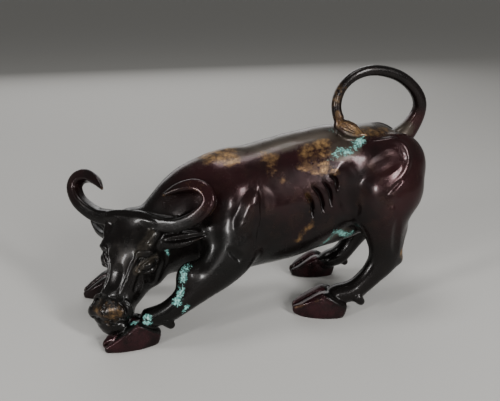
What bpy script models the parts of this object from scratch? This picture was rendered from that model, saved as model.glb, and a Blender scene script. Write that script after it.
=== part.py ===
"""A small cast bronze bull, head down and haunches up, its tail curled round on to its back.

Run with: blender --background --python part.py
Metres, +Z up. The bull faces -X and its left side faces -Y. The origin is on the ground, under the middle of it.

The casting is one solid. It is modelled the way a sculptor builds one in clay: limbs and muscles are laid over
each other and worked into one skin, the hooves, horns, ears and tail are added, and then the ribs, creases,
eyes and hair are cut. Pose, stations and cuts are shares of the bull: in units, of which BULL_UNITS make its
length. They are counted along the ground from under the withers, and the casting is centred at the end.
"""

import math

import bmesh
import bpy
import numpy as np
from mathutils import Matrix, Vector

# The whole bronze, from muzzle to rump
BULL_LENGTH = 0.280
BULL_UNITS = 258.2
UNIT = BULL_LENGTH / BULL_UNITS

# How finely the clay is worked, in units, and how many faces the casting keeps
BODY_GRAIN = 2.2
BODY_STROKES = 14
SKIN_GRAIN = 1.15
SKIN_STROKES = 3
CASTING_FACES = 9400

# How finely limbs, muscles and cuts are drawn
RING_SIDES = 24
RING_STEP = 3.0
CUT_STEP = 0.8
BALL_SIDES = 20
BALL_ROWS = 12
END_ANGLES = (80, 60, 35)
THINNEST = 0.4

# Head: where the poll is, and in degrees its turn to the left, its roll and how far the face leans
POLL = Vector((-93.2, -13.5, 87.5))
HEAD_TURN = 52.0
HEAD_ROLL = 3.0
FACE_LEAN = 27.0

# Eyes: place on the head and radius, and the lid's rim round it
EYE_ACROSS = 18.5
EYE_DOWN = 33.0
EYE_OUT = -8.0
EYE_RADIUS = 4.6
EYE_RIM = 1.6

# Ribs that show on each flank: top x and z, foot x and z
RIBS = ((24.5, 98, 31, 78), (29.5, 103, 39, 81), (37.5, 105, 44.5, 85), (43, 108.5, 48.5, 97))
FLANK_OUT = 31.0
RIB_BOW = 1.8
RIB_WIDTH = 2.8
RIB_DEPTH = 3.2

# Hooves, all four alike: each stands at its heel, its toe so many degrees from -X towards -Y
HOOVES = (((60, -26), -14), ((75, 39), -3), ((-78, -30), 4), ((-96, 41), -2))
HOOF_LENGTH = 39.5
HOOF_HEIGHT = 18.0
CLAW_WIDTH = 11.0
CLAW_LAP = 0.6
CLEFT_WIDTH = 2.8
CLEFT_DEPTH = 2.4
CORONET_WIDTH = 2.4
CORONET_RISE = 0.8

# Dewclaws, a pair behind each fetlock
DEWCLAWS = ((71, -29, 9), (84, 35, 9), (-69, -37, 14), (-86, 41, 14))

# Flutes of the tail's tuft
FLUTE_ANGLES = range(-40, 121, 32)
FLUTE_WIDTH = 1.8
FLUTE_DEPTH = 1.3


def head_axes():
    """The head's own directions: across to its left, down the face, and out of the face."""
    turn, roll, lean = (math.radians(v) for v in (HEAD_TURN, HEAD_ROLL, FACE_LEAN))
    ahead = Vector((-math.cos(turn), -math.sin(turn), 0))
    left = Vector((math.sin(turn), -math.cos(turn), 0))
    left = (left * math.cos(roll) + Vector((0, 0, 1)) * math.sin(roll)).normalized()
    down = Vector((0, 0, -math.cos(lean))) + ahead * math.sin(lean)
    down = (down - down.dot(left) * left).normalized()
    return left, down, down.cross(left)


LEFT, DOWN, OUT = head_axes()


def on_head(across, down, out):
    """A place on the head, from the poll: across to the bull's left, down the face, out of the face."""
    return POLL + LEFT * across + DOWN * down + OUT * out


def curve(points, step=RING_STEP):
    """A smooth curve through rows of numbers whose first three are a place, as rows about a step apart."""
    p = np.array(points, float)
    run = np.linalg.norm(np.diff(p[:, :3], axis=0), axis=1).sum()
    count = max(2 * len(p), int(run / step))
    p = np.vstack([2 * p[0] - p[1], p, 2 * p[-1] - p[-2]])
    t = np.linspace(0, len(points) - 1, count)
    i = np.minimum(t.astype(int), len(points) - 2)
    f = (t - i)[:, None]
    a, b, c, d = p[i], p[i + 1], p[i + 2], p[i + 3]
    bend = (2 * a - 5 * b + 4 * c - d) * f**2 + (3 * b - a - 3 * c + d) * f**3
    return 0.5 * (2 * b + (c - a) * f + bend)


def ring(bm, centre, across, over, power):
    """One closed ring: an ellipse, or squarer than one where power is over 2."""
    made = bmesh.ops.create_circle(bm, segments=RING_SIDES, radius=1.0)["verts"]
    for v in made:
        c, s = (math.copysign(abs(k) ** (2 / power), k) for k in (v.co.x, v.co.y))
        v.co = centre + across * c + over * s
    return made


def ring_edges(verts):
    """The edges that run round one ring."""
    kept = set(verts)
    found = []
    for v in verts:
        found += [e for e in v.link_edges if e not in found and all(w in kept for w in e.verts)]
    return found


def limb(bm, stations, power=2.0, side=(0, 1, 0)):
    """A closed limb through stations (x, y, z, half width, half depth), its ends rounded.

    The width is measured along side, squared to the limb's run."""
    rows = curve(stations)
    places = [Vector(row[:3]) for row in rows]
    runs = [Vector(t).normalized() for t in np.gradient(rows[:, :3], axis=0)]
    sizes = [(max(w, THINNEST), max(h, THINNEST), 1.0, 0.0) for w, h in rows[:, 3:5]]
    rounds = [(math.cos(math.radians(a)), math.sin(math.radians(a))) for a in END_ANGLES]
    first = [(sizes[0][0], sizes[0][1], small, -far) for small, far in rounds]
    last = [(sizes[-1][0], sizes[-1][1], small, far) for small, far in reversed(rounds)]
    extra = len(END_ANGLES)
    places = [places[0]] * extra + places + [places[-1]] * extra
    runs = [runs[0]] * extra + runs + [runs[-1]] * extra
    ends = []
    before = None
    for place, run, (wide, deep, small, far) in zip(places, runs, first + sizes + last):
        across = Vector(side)
        across = (across - across.dot(run) * run).normalized()
        over = run.cross(across)
        centre = place + run * min(wide, deep) * far
        made = ring(bm, centre, across * wide * small, over * deep * small, power)
        edges = ring_edges(made)
        if before:
            bmesh.ops.bridge_loops(bm, edges=before + edges)
        else:
            ends.append(edges)
        before = edges
    ends.append(before)
    for edges in ends:
        bmesh.ops.contextual_create(bm, geom=edges)


def ball(bm, centre, radii, turn=(0, 0, 0)):
    """A muscle or a swelling: a sphere stretched to three radii, turned about X, Y and Z in degrees."""
    place = Matrix.Translation(centre)
    for angle, axis in zip(turn, "XYZ"):
        place = place @ Matrix.Rotation(math.radians(angle), 4, axis)
    place = place @ Matrix.Diagonal((*radii, 1))
    bmesh.ops.create_uvsphere(bm, u_segments=BALL_SIDES, v_segments=BALL_ROWS, radius=1.0, matrix=place)


def head_ball(bm, across, down, out, radii):
    """A swelling on the head, its radii across, down and out of the face."""
    place = Matrix.Translation(on_head(across, down, out))
    place = place @ Matrix((LEFT, DOWN, OUT)).transposed().to_4x4() @ Matrix.Diagonal((*radii, 1))
    bmesh.ops.create_uvsphere(bm, u_segments=BALL_SIDES, v_segments=BALL_ROWS, radius=1.0, matrix=place)


def head_limb(bm, stations, power=2.0, side=None):
    """A limb whose stations are places on the head."""
    rows = [(*on_head(*row[:3]), *row[3:]) for row in stations]
    limb(bm, rows, power, LEFT if side is None else side)


def trunk(bm):
    """Barrel, withers, neck and brisket."""
    limb(bm, [
        (108, 0, 109, 16, 17),
        (102, 0, 108, 25, 25),
        (92, 0, 106, 29, 31),
        (76, 0, 101, 30, 35),
        (58, 0, 97, 30.5, 40.5),
        (38, 0, 90, 32, 44.5),
        (16, 0, 83.5, 33.5, 46),
        (-8, 0, 79, 34, 45),
        (-28, 0, 76, 32.5, 44.5),
        (-44, 0, 72, 26, 39),
    ])
    ball(bm, (-18, 0, 99), (32, 16, 26), (0, -4, 0))
    limb(bm, [
        (-24, 0, 84, 28, 39),
        (-44, -1, 78.5, 23, 36),
        (-60, -4, 70.5, 19.5, 30),
        (-74, -8, 61, 17.5, 24),
        (-88, -13, 54, 15, 17),
    ])
    limb(bm, [(-34, 0, 52, 16, 13), (-52, -2, 48, 13, 12), (-68, -7, 45, 9, 9)])
    limb(bm, [(28, -3, 45, 3, 3), (40, -6, 49, 5.5, 5), (54, -9, 55, 7, 7), (70, -12, 64, 9, 9)])


def haunches(bm):
    """The rump muscles, and each hind leg down to its fetlock."""
    for hand, back, out in ((-1, 0, 0), (1, 1, 5)):
        ball(bm, (95, hand * 18, 105), (25, 15.5, 28), (0, 8, 0))
        limb(bm, [
            (90, hand * 17, 112, 15, 24),
            (89, hand * 22, 95, 17, 29),
            (86 + back * 2, hand * (26 + out), 78, 15, 24),
            (87 + back * 5, hand * (28 + out), 63, 11.5, 16),
            (88.5 + back * 7, hand * (29 + out), 50, 8.5, 13),
            (87.5 + back * 8, hand * (29 + out), 40, 8, 12.5),
            (80 + back * 10, hand * (29 + out), 30, 7.5, 9.5),
            (72 + back * 12, hand * (28.5 + out), 22, 7.5, 8.5),
            (65 + back * 13, hand * (28 + out), 16.5, 8, 8.5),
            (52 + back * 14, hand * (26 + out), 14.5, 8.5, 7.5),
        ])
        limb(bm, [
            (104 + back * 5, hand * (27 + out), 66, 3.5, 4),
            (100.5 + back * 7, hand * (29 + out), 50, 2.6, 3),
            (100 + back * 8, hand * (29.5 + out), 38, 4, 4.5),
        ])


def shoulders(bm):
    """The shoulder blades, and each foreleg down to its fetlock."""
    for hand in (-1, 1):
        ball(bm, (-26, hand * 21, 82), (20, 14.5, 35), (0, 12, 0))
    limb(bm, [
        (-25, -23, 76, 14, 22),
        (-25, -28, 61, 13, 19.5),
        (-35, -32, 49, 11, 16.5),
        (-49, -35.5, 38.5, 9.5, 12),
        (-62, -37.5, 29.5, 8.5, 9.5),
        (-72, -37, 22.5, 8.5, 8.5),
        (-84, -34, 18, 8.5, 8),
    ])
    ball(bm, (-54, -34, 45), (11, 8, 13), (0, 25, 0))
    limb(bm, [
        (-25, 23, 76, 14, 22),
        (-29, 28, 62, 13, 19.5),
        (-43, 32, 51, 11, 16),
        (-60, 36, 42, 9.5, 11.5),
        (-75, 39, 33, 8.5, 9.5),
        (-88, 40.5, 25, 8.5, 8.5),
        (-100, 41, 19, 8.5, 8),
    ])
    ball(bm, (-60, 33, 48), (11, 8, 13), (0, 25, 0))


def skull(bm):
    """Forehead, cheeks, nose and chin."""
    head_limb(bm, [
        (0, 4, -12, 17, 9.5),
        (0, 14, -16, 19.5, 15.5),
        (0, 28, -19, 19.5, 19),
        (0, 40, -18, 15.5, 17.5),
        (0, 50, -14.5, 11, 13.5),
        (0, 59, -12, 11, 12),
        (0, 66, -12, 12, 11),
    ], power=2.5)
    for hand in (-1, 1):
        head_ball(bm, hand * 12, 32, -28, (7.5, 16, 12))
        head_ball(bm, hand * 16, 24, -7, (6, 7, 7))
        head_ball(bm, hand * 9.5, 64, -7, (7, 7, 8))
    head_ball(bm, -2, 66.5, -8, (15.5, 7.5, 9.5))
    head_ball(bm, 0, 77, -12, (10, 6.5, 9))


def eyes(bm):
    """The eyeballs, standing a little out of their sockets."""
    for hand in (-1, 1):
        head_ball(bm, hand * EYE_ACROSS, EYE_DOWN, EYE_OUT, (EYE_RADIUS,) * 3)


def claw_reach(run, rise):
    """How far a claw's outer face stands from the hoof's middle; run goes from toe to heel, rise from the sole."""
    return CLAW_WIDTH * (0.40 + 1.95 * run - 1.6 * run**2 - 0.2 * rise)


def on_hoof(heel, turn, run, across, rise):
    """A place on a hoof: run from toe to heel, across in units, rise from the sole to the coronet."""
    place = Matrix.Rotation(math.radians(turn), 3, "Z") @ Vector((HOOF_LENGTH * (run - 1), across, 0))
    return place + Vector((*heel, HOOF_HEIGHT * rise))


def hoof(bm, heel, turn):
    """One cloven hoof: two claws side by side, cut from a wedge, standing on the ground."""
    outline = (
        (0.00, 0.34), (0.03, 0.18), (0.20, -0.08), (0.86, -0.08), (0.96, 0.06),
        (1.00, 0.28), (0.94, 0.50), (0.64, 1.00), (0.54, 0.98),
    )
    for hand in (-1, 1):
        inner = [bm.verts.new(on_hoof(heel, turn, run, -hand * CLAW_LAP / 2, rise)) for run, rise in outline]
        face = bmesh.ops.contextual_create(bm, geom=inner)["faces"][0]
        raised = bmesh.ops.extrude_face_region(bm, geom=[face])["geom"]
        outer = [g for g in raised if isinstance(g, bmesh.types.BMVert)]
        for v, (run, rise) in zip(inner, outline):
            twin = min(outer, key=lambda w: (w.co - v.co).length)
            drop = max(rise, 0)
            twin.co = on_hoof(heel, turn, run, hand * claw_reach(run, drop), rise - 0.09 * drop)
        whole = set(inner + outer)
        faces = [f for f in bm.faces if all(v in whole for v in f.verts)]
        bmesh.ops.recalc_face_normals(bm, faces=faces)


def hooves(bm):
    """Four hooves, and the dewclaws above their heels."""
    for heel, turn in HOOVES:
        hoof(bm, heel, turn)
    for x, y, z in DEWCLAWS:
        for hand in (-1, 1):
            limb(bm, [(x - 4, y + hand * 4, z + 5, 3.5, 4), (x + 0.5, y + hand * 4.5, z + 1, 2.4, 3)])


def horns(bm):
    """Slender horns, out and back from the poll, up, and in again at the tips, a little flattened."""
    for hand in (-1, 1):
        head_limb(bm, [
            (hand * 9, 6, -8, 6.5, 6.0),
            (hand * 20, 5, -9.5, 5.4, 5.0),
            (hand * 34, 3.5, -11, 5.0, 4.4),
            (hand * 48.5, -3.5, -9.5, 4.7, 4.1),
            (hand * 55.5, -13, -9, 4.3, 3.9),
            (hand * 52.5, -20, -8, 3.9, 3.6),
            (hand * 44, -22.5, -7, 3.4, 3.2),
            (hand * 34, -19.5, -4.5, 2.6, 2.4),
            (hand * 26, -14.5, -1.5, 1.0, 1.0),
        ], power=2.5, side=OUT)


def ears(bm):
    """Leaf-shaped ears, out and back from under the horns."""
    for hand in (-1, 1):
        head_limb(bm, [
            (hand * 16, 17, -13, 3.5, 4.0),
            (hand * 24, 15.5, -15, 3.2, 6.0),
            (hand * 34, 13.5, -19, 2.6, 6.2),
            (hand * 43, 9.5, -22.5, 1.8, 4.2),
            (hand * 49, 6.5, -24.5, 0.8, 1.2),
        ], side=OUT)


TUFT = (
    (54, -14, 141, 4.0, 4.5),
    (60, -16, 136, 5.0, 6.5),
    (69, -17, 133.5, 5.0, 6.0),
    (78, -18, 131.5, 3.2, 3.2),
    (81, -18.5, 130.5, 1.2, 1.2),
)


def tail(bm):
    """The tail, from its root over the rump and round to the loin, with its tuft lying back along it."""
    limb(bm, [
        (104, 0, 121, 8.0, 9.0),
        (113, -1, 130, 6.0, 6.8),
        (118.5, -3, 142, 5.0, 5.0),
        (117.5, -5, 152, 4.7, 4.5),
        (111, -6, 161.5, 4.4, 4.2),
        (100, -7, 169.5, 4.1, 4.0),
        (87, -8, 173.8, 3.8, 3.8),
        (74.5, -9, 174.5, 3.6, 3.6),
        (63.5, -10, 171.0, 3.5, 3.5),
        (55.5, -11, 164, 3.4, 3.4),
        (51.8, -12, 154.5, 3.4, 3.4),
        (52.5, -13, 146.0, 3.6, 3.6),
        (56.5, -14, 138.0, 4.2, 4.2),
    ])
    limb(bm, TUFT)


def rib_cuts(hand):
    """The slashes between the ribs, bowed forward."""
    cuts = []
    for top_x, top_z, foot_x, foot_z in RIBS:
        middle = ((top_x + foot_x) / 2 + RIB_BOW, (top_z + foot_z) / 2 + RIB_BOW)
        points = [(x, hand * FLANK_OUT, z) for x, z in ((top_x, top_z), middle, (foot_x, foot_z))]
        cuts.append((points, RIB_WIDTH, RIB_DEPTH))
    return cuts


def hoof_cuts():
    """The cleft down the front of each hoof, and the raised rim of its coronet."""
    cleft = ((0.02, 0.10), (0.00, 0.34), (0.28, 0.67), (0.56, 1.00))
    coronet = ((0.56, 0.1, 1.00), (0.64, 0.7, 0.96), (0.76, 1.0, 0.76), (0.88, 1.0, 0.56), (0.98, 0.8, 0.36))
    cuts = []
    for heel, turn in HOOVES:
        cuts.append(([on_hoof(heel, turn, run, 0, rise) for run, rise in cleft], CLEFT_WIDTH, CLEFT_DEPTH))
        for hand in (-1, 1):
            rim = []
            for run, share, rise in coronet:
                rim.append(on_hoof(heel, turn, run, hand * share * claw_reach(run, rise), rise))
            cuts.append((rim, CORONET_WIDTH, -CORONET_RISE))
    return cuts


def body_cuts(hand):
    """Creases and ridges of the shoulder, haunch and hock on one side. A ridge has a depth below nothing."""
    lines = (
        ([(-6.4, 28.4, 104), (-5.3, 31.4, 96.5), (-5.4, 33.1, 88), (-5.8, 33.7, 80), (-8.4, 34.6, 70),
          (-11.6, 36.4, 61.6)], 5.0, 2.0),
        ([(-7.4, 29.5, 101.7), (-13.5, 32.4, 94), (-18.7, 34.2, 86.7)], 7.0, -1.2),
        ([(-13.8, 33.6, 86), (-13.5, 35.6, 74.6), (-14.8, 38, 62.6)], 5.5, -1.1),
        ([(-27.2, 39, 68.7), (-22, 39.8, 64.2), (-15.6, 38.5, 60.7)], 3.0, 1.2),
        ([(92, 35.5, 106.5), (84.4, 37.6, 100.4), (78, 38.3, 93.4), (75.5, 38.4, 88)], 3.0, 1.1),
        ([(71, 19.7, 128.2), (80.5, 20, 130.2), (89.5, 23.2, 130), (98, 26.2, 128), (100.7, 30.6, 119.3),
          (99.9, 32.3, 113.3), (95.7, 34.8, 106.5)], 5.0, -1.3),
        ([(57, 24, 116), (54, 29, 100), (57, 31, 88), (64, 32, 77)], 10.0, 2.2),
        ([(86, 40, 87), (84, 40, 80), (81, 38.6, 70)], 5.0, -1.0),
        ([(90, 39, 78), (91, 38.5, 66), (92, 37, 56), (93.5, 36, 47)], 4.0, 1.6),
    )
    return [([(x, hand * y, z) for x, y, z in points], width, depth) for points, width, depth in lines]


def face_cuts(hand):
    """Eye, nasal ridge, cheek, nostril and mouth on one side of the head."""
    reach = EYE_RADIUS + EYE_RIM
    rim = []
    for angle in range(0, 361, 30):
        c, s = math.cos(math.radians(angle)), math.sin(math.radians(angle))
        rim.append((EYE_ACROSS + 1, EYE_DOWN + reach * s, EYE_OUT + reach * c))
    lines = (
        (rim, 2.2, EYE_RIM),
        ([(17, 24, 0), (12, 29, -1.5), (9, 37, -2), (7, 46, -2.5), (7.5, 56, -3)], 3.0, -1.2),
        ([(10.5, 41, -8), (9.5, 50, -8), (10, 57, -8)], 4.0, 1.5),
        ([(14, 39, -11), (12, 47, -12), (11, 56, -12)], 3.0, -1.0),
        ([(6.5, 61.5, 0.5), (10.5, 61.5, -2), (13, 65, -6)], 2.6, 2.2),
        ([(0, 72.5, -1), (6, 72, -2), (11, 70.5, -5), (13.5, 68.5, -11)], 2.2, 1.8),
    )
    return [([on_head(hand * a, d, o) for a, d, o in points], width, depth) for points, width, depth in lines]


def tuft_cuts():
    """The flutes that part the hair of the tuft, from the tail's end to its tip."""
    cuts = []
    for angle in FLUTE_ANGLES:
        c, s = math.cos(math.radians(angle)), math.sin(math.radians(angle))
        flute = [(x, y - wide * c, z + deep * s) for x, y, z, wide, deep in TUFT]
        cuts.append((flute, FLUTE_WIDTH, FLUTE_DEPTH))
    return cuts


def carve(skin, cuts):
    """Each cut sinks the skin along a line of points, or raises it where the depth is negative.

    It is deepest on the line, gone at the cut's width, and a quarter as deep at the line's ends."""
    skin.normal_update()
    places = np.array([v.co for v in skin.verts])
    outward = np.array([v.normal for v in skin.verts])
    for points, width, depth in cuts:
        path = curve(points, CUT_STEP)[:, :3]
        near = np.all((places > path.min(0) - width) & (places < path.max(0) + width), axis=1)
        gaps = np.linalg.norm(places[near][:, None] - path[None], axis=2)
        share = gaps.argmin(axis=1) / (len(path) - 1)
        fade = np.minimum(1, 0.25 + 3 * np.minimum(share, 1 - share))
        bite = np.clip(1 - (gaps.min(axis=1) / width) ** 2, 0, 1) ** 2
        places[near] -= outward[near] * (depth * fade * bite)[:, None]
    for v, place in zip(skin.verts, places):
        v.co = place


def worked(bm, name, grain, strokes):
    """The shapes of bm as one skin, worked over with a grain and smoothed by so many strokes."""
    mesh = bpy.data.meshes.new(name)
    bm.to_mesh(mesh)
    bm.free()
    clay = bpy.data.objects.new(name, mesh)
    bpy.context.scene.collection.objects.link(clay)
    remesh = clay.modifiers.new("Skin", "REMESH")
    remesh.mode = "VOXEL"
    remesh.voxel_size = grain
    remesh.adaptivity = 0.0
    bpy.context.view_layer.update()
    done = clay.evaluated_get(bpy.context.evaluated_depsgraph_get()).to_mesh()
    fresh = bmesh.new()
    fresh.from_mesh(done)
    bpy.data.objects.remove(clay)
    for _ in range(strokes):
        bmesh.ops.smooth_vert(fresh, verts=fresh.verts, factor=0.5, use_axis_x=True, use_axis_y=True, use_axis_z=True)
    return fresh


def bronze():
    """Dark brown patina over cast bronze, rubbed to a shine."""
    finish = bpy.data.materials.new("bronze")
    finish.use_nodes = True
    shader = finish.node_tree.nodes["Principled BSDF"]
    shader.inputs["Base Color"].default_value = (0.045, 0.022, 0.018, 1)
    shader.inputs["Metallic"].default_value = 0.8
    shader.inputs["Roughness"].default_value = 0.32
    return finish


def cast(skin):
    """The skin as one casting with few faces, its hooves cut flat, standing on the ground over the origin."""
    bmesh.ops.scale(skin, vec=(UNIT, UNIT, UNIT), verts=skin.verts)
    mesh = bpy.data.meshes.new("clay")
    skin.to_mesh(mesh)
    skin.free()
    clay = bpy.data.objects.new("clay", mesh)
    bpy.context.scene.collection.objects.link(clay)
    fewer = clay.modifiers.new("Fewer", "DECIMATE")
    fewer.ratio = CASTING_FACES / (2 * len(mesh.polygons))
    fewer.use_collapse_triangulate = True
    bpy.context.view_layer.update()
    casting = bmesh.new()
    casting.from_mesh(clay.evaluated_get(bpy.context.evaluated_depsgraph_get()).to_mesh())
    bpy.data.objects.remove(clay)
    everything = casting.verts[:] + casting.edges[:] + casting.faces[:]
    sole = bmesh.ops.bisect_plane(casting, geom=everything, plane_co=(0, 0, 0), plane_no=(0, 0, 1), clear_inner=True)
    rims = [g for g in sole["geom_cut"] if isinstance(g, bmesh.types.BMEdge)]
    bmesh.ops.holes_fill(casting, edges=rims, sides=0)
    bmesh.ops.triangulate(casting, faces=casting.faces)
    low = [min(v.co[i] for v in casting.verts) for i in range(2)]
    high = [max(v.co[i] for v in casting.verts) for i in range(2)]
    middle = Vector(((low[0] + high[0]) / 2, (low[1] + high[1]) / 2, 0))
    bmesh.ops.translate(casting, vec=-middle, verts=casting.verts)
    done = bpy.data.meshes.new("bull")
    casting.to_mesh(done)
    casting.free()
    done.shade_smooth()
    return done


def main():
    for old in list(bpy.data.objects):
        bpy.data.objects.remove(old)
    body = bmesh.new()
    trunk(body)
    haunches(body)
    shoulders(body)
    skull(body)
    body = worked(body, "body", BODY_GRAIN, BODY_STROKES)
    eyes(body)
    hooves(body)
    horns(body)
    ears(body)
    tail(body)
    skin = worked(body, "skin", SKIN_GRAIN, SKIN_STROKES)
    cuts = tuft_cuts() + hoof_cuts()
    for hand in (-1, 1):
        cuts += rib_cuts(hand) + body_cuts(hand) + face_cuts(hand * -1)
    carve(skin, cuts)
    mesh = cast(skin)
    mesh.materials.append(bronze())
    bull = bpy.data.objects.new("bull", mesh)
    sculpture = bpy.data.collections.new("bull sculpture")
    bpy.context.scene.collection.children.link(sculpture)
    sculpture.objects.link(bull)


main()
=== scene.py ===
"""A small cast bronze bull, head down and haunches up, its tail curled round on to its back.

Metres, +Z up. The bull faces -X and its left side faces -Y. It stands on its hooves over the origin.
"""

import math

import bmesh
import bpy
import numpy as np
from mathutils import Matrix, Vector

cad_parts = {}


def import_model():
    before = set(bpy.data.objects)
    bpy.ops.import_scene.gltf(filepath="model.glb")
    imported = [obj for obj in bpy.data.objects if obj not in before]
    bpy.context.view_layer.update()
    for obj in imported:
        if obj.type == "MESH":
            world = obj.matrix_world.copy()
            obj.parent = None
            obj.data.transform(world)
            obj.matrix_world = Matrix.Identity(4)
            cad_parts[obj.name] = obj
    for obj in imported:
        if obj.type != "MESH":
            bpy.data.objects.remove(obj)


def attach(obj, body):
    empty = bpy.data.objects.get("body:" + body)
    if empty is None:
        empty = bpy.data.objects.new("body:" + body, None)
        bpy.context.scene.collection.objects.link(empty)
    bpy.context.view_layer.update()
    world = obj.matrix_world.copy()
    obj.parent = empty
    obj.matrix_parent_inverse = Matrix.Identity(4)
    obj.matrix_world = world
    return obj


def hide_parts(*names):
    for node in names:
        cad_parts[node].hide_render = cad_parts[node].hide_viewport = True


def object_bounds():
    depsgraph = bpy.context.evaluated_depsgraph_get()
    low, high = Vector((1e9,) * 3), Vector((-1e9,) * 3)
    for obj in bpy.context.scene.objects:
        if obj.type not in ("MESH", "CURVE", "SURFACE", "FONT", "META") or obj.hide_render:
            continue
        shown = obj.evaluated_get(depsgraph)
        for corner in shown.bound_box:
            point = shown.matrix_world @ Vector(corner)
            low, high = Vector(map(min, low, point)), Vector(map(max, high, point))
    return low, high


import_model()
cad_low, cad_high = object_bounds()

# Trunk
# The bronze is one hollow lost-wax casting, so it is modelled as its wax was: soft masses are laid over each
# other and worked into one skin. This is the barrel, the withers, the neck and the brisket.
# Lengths are shares of the bull, in units of which BULL_UNITS make it, counted from under the withers.
BULL_UNITS = 258.2
UNIT = (cad_high.x - cad_low.x) / BULL_UNITS
RING_SIDES = 32
RING_STEP = 2.2
END_ANGLES = (80, 60, 35)
THINNEST = 0.35


def curve(points, step):
    """A smooth curve through rows of numbers whose first three are a place, as rows about a step apart."""
    p = np.array(points, float)
    run = np.linalg.norm(np.diff(p[:, :3], axis=0), axis=1).sum()
    count = max(2 * len(p), int(run / step))
    p = np.vstack([2 * p[0] - p[1], p, 2 * p[-1] - p[-2]])
    t = np.linspace(0, len(points) - 1, count)
    i = np.minimum(t.astype(int), len(points) - 2)
    f = (t - i)[:, None]
    a, b, c, d = p[i], p[i + 1], p[i + 2], p[i + 3]
    bend = (2 * a - 5 * b + 4 * c - d) * f**2 + (3 * b - a - 3 * c + d) * f**3
    return 0.5 * (2 * b + (c - a) * f + bend)


def ring(wax, centre, across, over, power):
    """The edges of one closed ring of wax: an ellipse, or squarer than one where power is over 2."""
    verts = bmesh.ops.create_circle(wax, segments=RING_SIDES, radius=1.0)["verts"]
    for v in verts:
        c, s = (math.copysign(abs(k) ** (2 / power), k) for k in (v.co.x, v.co.y))
        v.co = centre + across * c + over * s
    return list({e for v in verts for e in v.link_edges})


def limb(wax, stations, power=2.0, side=(0, 1, 0), twist=0):
    """A closed limb through stations (x, y, z, half width, half depth), its ends rounded.

    The width is measured along side, squared to the limb's run and then turned about it by twist degrees."""
    rows = curve(stations, RING_STEP)
    places = [Vector(row[:3]) for row in rows]
    runs = [Vector(t).normalized() for t in np.gradient(rows[:, :3], axis=0)]
    sizes = [(max(w, THINNEST), max(h, THINNEST), 1.0, 0.0) for w, h in rows[:, 3:5]]
    rounds = [(math.cos(math.radians(a)), math.sin(math.radians(a))) for a in END_ANGLES]
    first = [(*sizes[0][:2], small, -far) for small, far in rounds]
    last = [(*sizes[-1][:2], small, far) for small, far in reversed(rounds)]
    extra = len(END_ANGLES)
    places = [places[0]] * extra + places + [places[-1]] * extra
    runs = [runs[0]] * extra + runs + [runs[-1]] * extra
    rings = []
    for place, run, (wide, deep, small, far) in zip(places, runs, first + sizes + last):
        across = Vector(side)
        across = Matrix.Rotation(math.radians(twist), 3, run) @ (across - across.dot(run) * run).normalized()
        centre = place + run * min(wide, deep) * far
        rings.append(ring(wax, centre, across * wide * small, run.cross(across) * deep * small, power))
    for before, after in zip(rings, rings[1:]):
        bmesh.ops.bridge_loops(wax, edges=before + after)
    for end in (rings[0], rings[-1]):
        bmesh.ops.contextual_create(wax, geom=end)


def mass(wax, centre, radii, lean=0):
    """A muscle: a sphere stretched to three radii, leaning back by so many degrees."""
    place = Matrix.Translation(centre) @ Matrix.Rotation(math.radians(lean), 4, "Y")
    place = place @ Matrix.Diagonal((*radii, 1))
    bmesh.ops.create_uvsphere(wax, u_segments=24, v_segments=14, radius=1.0, matrix=place)


body = bmesh.new()
limb(body, [
    (108, 0, 109, 16, 17),
    (102, 0, 108, 25, 25),
    (92, 0, 106, 29, 31),
    (76, 0, 101, 30, 35),
    (58, 0, 97, 30.5, 40.5),
    (38, 0, 90, 32, 44.5),
    (16, 0, 83.5, 33.5, 46),
    (-8, 0, 79, 34, 45),
    (-28, 0, 76, 32.5, 44.5),
    (-44, 0, 72, 26, 39),
])
mass(body, (-18, 0, 99), (32, 16, 26), -4)
limb(body, [
    (-24, 0, 84, 28, 39),
    (-44, -1, 78.5, 23, 36),
    (-60, -4, 70.5, 19.5, 30),
    (-74, -8, 61, 17.5, 24),
    (-88, -13, 54, 15, 17),
])
limb(body, [(-34, 0, 52, 16, 13), (-52, -2, 48, 13, 12), (-68, -7, 45, 9, 9)])
limb(body, [(28, -3, 45, 3, 3), (40, -6, 49, 5.5, 5), (54, -9, 55, 7, 7), (70, -12, 64, 9, 9)])

# Haunches and hind legs
# Cast with the trunk. The haunches stand higher than the withers, and each hind leg reaches forward under the
# belly from its hock. The far leg stands a little further back and out.
for hand, back, out in ((-1, 0, 0), (1, 1, 5)):
    mass(body, (95, hand * 18, 105), (25, 15.5, 28), 8)
    limb(body, [
        (90, hand * 17, 112, 15, 24),
        (89, hand * 22, 95, 17, 29),
        (86 + back * 2, hand * (26 + out), 78, 15, 24),
        (87 + back * 5, hand * (28 + out), 63, 11.5, 16),
        (88.5 + back * 7, hand * (29 + out), 50, 8.5, 13),
        (87.5 + back * 8, hand * (29 + out), 40, 8, 12.5),
        (80 + back * 10, hand * (29 + out), 30, 7.5, 9.5),
        (72 + back * 12, hand * (28.5 + out), 22, 7.5, 8.5),
        (65 + back * 13, hand * (28 + out), 16.5, 8, 8.5),
        (52 + back * 14, hand * (26 + out), 14.5, 8.5, 7.5),
    ])
    limb(body, [
        (104 + back * 5, hand * (27 + out), 66, 3.5, 4),
        (100.5 + back * 7, hand * (29 + out), 50, 2.6, 3),
        (100 + back * 8, hand * (29.5 + out), 38, 4, 4.5),
    ])

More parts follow.
